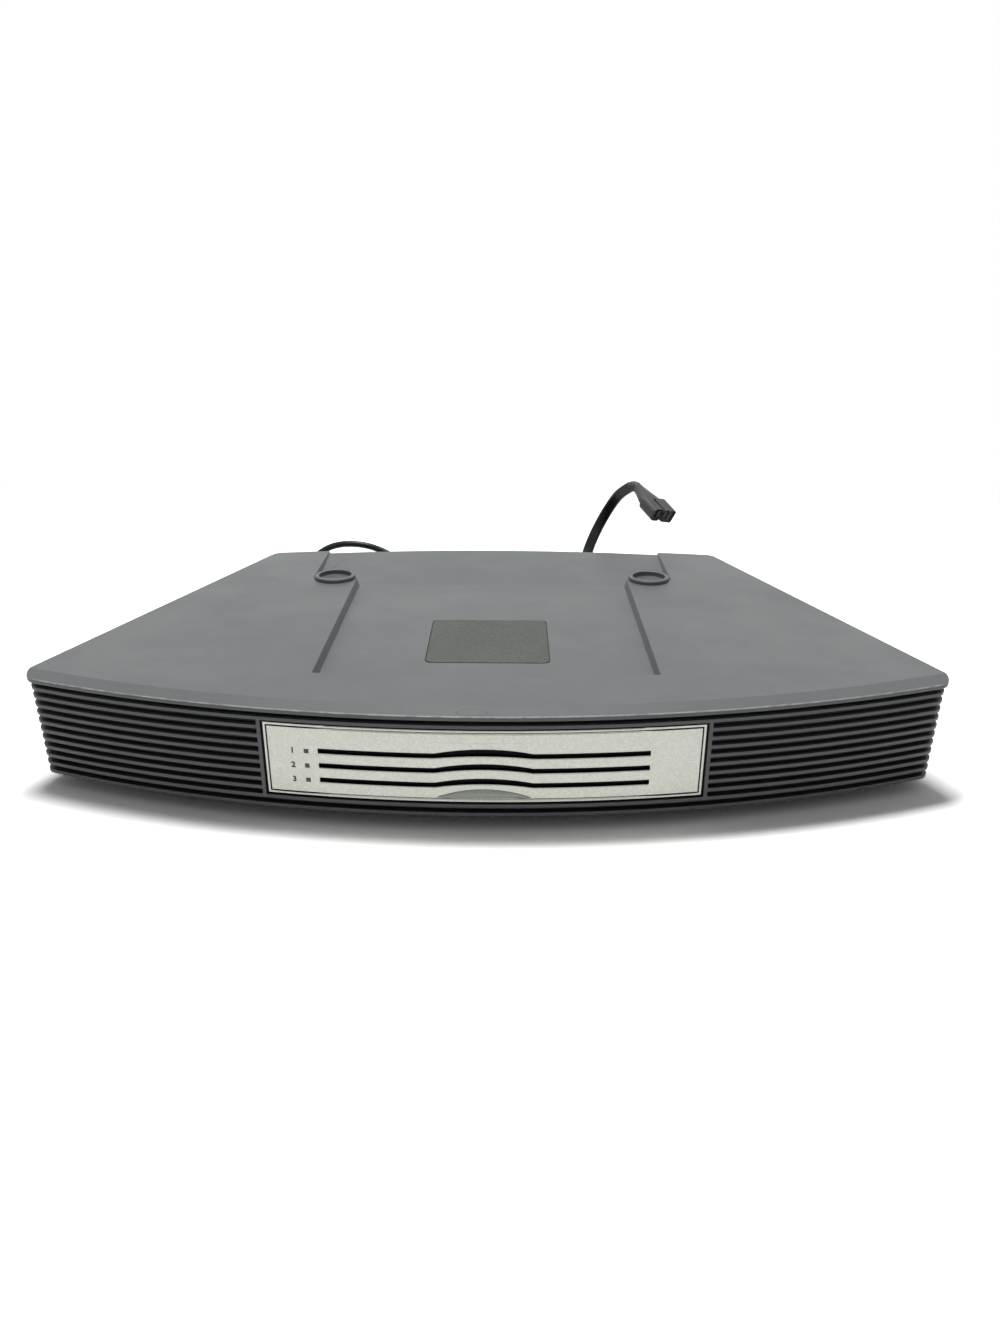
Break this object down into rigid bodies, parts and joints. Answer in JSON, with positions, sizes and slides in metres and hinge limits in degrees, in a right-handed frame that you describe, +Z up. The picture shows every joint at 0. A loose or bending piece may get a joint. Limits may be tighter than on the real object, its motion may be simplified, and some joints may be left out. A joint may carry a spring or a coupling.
{
  "type": "multi disc cd changer",
  "caption": "Flat graphite disc changer with a bowed ribbed front, silver slot plate, docking recess on top and rear leads.",
  "frame": {"origin": "middle of the footprint, on the surface that the feet stand on, leads left out", "axes": "+X along the front to the right as seen from the front, +Y to the back, +Z up"},
  "size_m": [0.368, 0.2755, 0.0838],
  "materials": {
    "lid_paint": "satin graphite paint with a fine metallic grain",
    "grille_paint": "satin graphite on moulded ribs",
    "front_silver": "satin pale silver paint, fine grain",
    "inlay": "grey-green with a bright bevelled edge",
    "lens": "small dull amber lenses",
    "felt": "black dust felt",
    "black_plastic": "black moulding",
    "pad": "olive-grey textured pad",
    "rubber": "matt black rubber",
    "cord": "smooth black jacket",
    "steel": "bare sheet steel",
    "chrome": "bright plated steel",
    "brass": "plated contact",
    "tray": "black slippery plastic",
    "white_plastic": "natural white gear plastic",
    "board_green": "green lacquered board",
    "chip": "black packages and cans",
    "winding": "laminated core with lacquered windings",
    "glass": "clear lens"
  },
  "bodies": {
    "casing": {"top_cover": "lid_paint", "top_pad": "pad", "front_grille": "grille_paint", "faceplate": "front_silver", "crescent_inlay": "inlay", "indicator_lenses": "lens", "slot_felts": "felt", "disc_guide": "black_plastic", "indicator_board": "board_green", "base_tray": "grille_paint", "rear_panel": "black_plastic", "rubber_feet": "rubber", "screws": "steel", "mains_inlet": "black_plastic", "inlet_pins": "brass", "mech_chassis": "steel", "top_bridge": "steel", "chassis_studs": "chrome", "loading_motor": "chip", "main_board": "board_green", "board_components": "chip", "power_board": "board_green", "transformer": "winding", "clamp_bracket": "black_plastic", "foot_cup_left": "black_plastic", "foot_cup_right": "black_plastic", "elevator_motor": "chip", "lift_motor": "chip", "link_gland": "rubber", "signal_gland": "rubber", "link_lead": "cord", "signal_lead": "cord", "link_plug": "black_plastic", "signal_plug": "black_plastic"},
    "roller_1": {"loading_roller_1": "rubber"},
    "roller_2": {"loading_roller_2": "rubber"},
    "roller_3": {"loading_roller_3": "rubber"},
    "idler_1": {"roller_idler_1": "white_plastic"},
    "idler_2": {"roller_idler_2": "white_plastic"},
    "elevator_pinions": {"elevator_shaft": "chrome"},
    "elevator_plate_left": {"elevator_cam_left": "white_plastic"},
    "elevator_plate_right": {"elevator_cam_right": "white_plastic"},
    "stocker": {"stocker_frame": "black_plastic", "disc_tray_1": "tray", "disc_tray_2": "tray", "disc_tray_3": "tray"},
    "lift_pinions": {"lift_shaft": "chrome"},
    "lift_plate_left": {"lift_cam_left": "white_plastic"},
    "lift_plate_right": {"lift_cam_right": "white_plastic"},
    "traverse": {"traverse_plate": "steel", "spindle_motor": "steel", "guide_rod": "chrome", "sled_motor": "steel"},
    "turntable": {"turntable": "white_plastic"},
    "pickup": {"pickup_sled": "black_plastic", "pickup_lens": "glass"},
    "sled_screw": {"lead_screw": "brass"},
    "clamp": {"clamp_arm": "steel"},
    "puck": {"clamp_puck": "white_plastic"},
    "transfer_arm": {"transfer_lever": "white_plastic"}
  },
  "joints": [
    {"name": "roller_1_spin", "type": "hinge", "parent": "casing", "child": "roller_1", "pos_m": [0, -0.0965, 0.0292], "axis": [1, 0, 0], "continuous": true},
    {"name": "roller_2_spin", "type": "hinge", "parent": "casing", "child": "roller_2", "pos_m": [0, -0.0965, 0.023], "axis": [1, 0, 0], "continuous": true},
    {"name": "roller_3_spin", "type": "hinge", "parent": "casing", "child": "roller_3", "pos_m": [0, -0.0965, 0.0168], "axis": [1, 0, 0], "continuous": true},
    {"name": "idler_1_spin", "type": "hinge", "parent": "casing", "child": "idler_1", "pos_m": [0.0742, -0.09258, 0.0261], "axis": [1, 0, 0], "continuous": true},
    {"name": "idler_2_spin", "type": "hinge", "parent": "casing", "child": "idler_2", "pos_m": [0.0742, -0.09258, 0.0199], "axis": [1, 0, 0], "continuous": true},
    {"name": "elevator_rise", "type": "slide", "parent": "casing", "child": "stocker", "axis": [0, 0, 1], "range_m": [-0.0062, 0.0062]},
    {"name": "elevator_plate_left_slide", "type": "slide", "parent": "casing", "child": "elevator_plate_left", "axis": [0, 1, 0], "range_m": [-0.0108, 0.0108]},
    {"name": "elevator_plate_right_slide", "type": "slide", "parent": "casing", "child": "elevator_plate_right", "axis": [0, 1, 0], "range_m": [-0.0108, 0.0108]},
    {"name": "elevator_shaft_turn", "type": "hinge", "parent": "casing", "child": "elevator_pinions", "pos_m": [0, -0.014, 0.0132], "axis": [1, 0, 0], "range_deg": [-154.8, 154.8]},
    {"name": "traverse_rise", "type": "slide", "parent": "casing", "child": "traverse", "axis": [0, 0, 1], "range_m": [0, 0.0088]},
    {"name": "lift_plate_left_slide", "type": "slide", "parent": "casing", "child": "lift_plate_left", "axis": [0, 1, 0], "range_m": [0, 0.0105]},
    {"name": "lift_plate_right_slide", "type": "slide", "parent": "casing", "child": "lift_plate_right", "axis": [0, 1, 0], "range_m": [0, 0.0105]},
    {"name": "lift_shaft_turn", "type": "hinge", "parent": "casing", "child": "lift_pinions", "pos_m": [0, -0.0805, 0.0132], "axis": [1, 0, 0], "range_deg": [-150.5, 0]},
    {"name": "clamp_swing", "type": "hinge", "parent": "casing", "child": "clamp", "pos_m": [-0.066, -0.0365, 0.031], "axis": [0, 1, 0], "range_deg": [0, 7.5]},
    {"name": "turntable_spin", "type": "hinge", "parent": "traverse", "child": "turntable", "pos_m": [0, -0.0365, 0.016], "axis": [0, 0, 1], "continuous": true},
    {"name": "puck_spin", "type": "hinge", "parent": "clamp", "child": "puck", "pos_m": [0.00009, -0.0365, 0.03454], "axis": [-0.1288, 0, 0.9917], "continuous": true},
    {"name": "pickup_slide", "type": "slide", "parent": "traverse", "child": "pickup", "axis": [1, 0, 0], "range_m": [0, 0.033]},
    {"name": "sled_screw_turn", "type": "hinge", "parent": "traverse", "child": "sled_screw", "pos_m": [0.034, -0.0195, 0.0139], "axis": [1, 0, 0], "range_deg": [0, 2972]},
    {"name": "transfer_swing", "type": "hinge", "parent": "casing", "child": "transfer_arm", "pos_m": [-0.06, 0.0635, 0.023], "axis": [0, 0, 1], "range_deg": [-62, 0]}
  ],
  "couplings": [
    {"joint": "roller_2_spin", "follows": "roller_1_spin", "ratio": 1},
    {"joint": "roller_3_spin", "follows": "roller_1_spin", "ratio": 1},
    {"joint": "idler_1_spin", "follows": "roller_1_spin", "ratio": -1},
    {"joint": "idler_2_spin", "follows": "roller_1_spin", "ratio": -1},
    {"joint": "elevator_plate_left_slide", "follows": "elevator_rise", "ratio": 1.7419},
    {"joint": "elevator_plate_right_slide", "follows": "elevator_rise", "ratio": 1.7419},
    {"joint": "elevator_shaft_turn", "follows": "elevator_rise", "rad_per_m": -435.48},
    {"joint": "lift_plate_left_slide", "follows": "traverse_rise", "ratio": 1.1932},
    {"joint": "lift_plate_right_slide", "follows": "traverse_rise", "ratio": 1.1932},
    {"joint": "lift_shaft_turn", "follows": "traverse_rise", "rad_per_m": -298.3},
    {"joint": "clamp_swing", "follows": "traverse_rise", "rad_per_m": 14.677},
    {"joint": "puck_spin", "follows": "turntable_spin", "ratio": 1},
    {"joint": "sled_screw_turn", "follows": "pickup_slide", "rad_per_m": 1570.8}
  ]
}
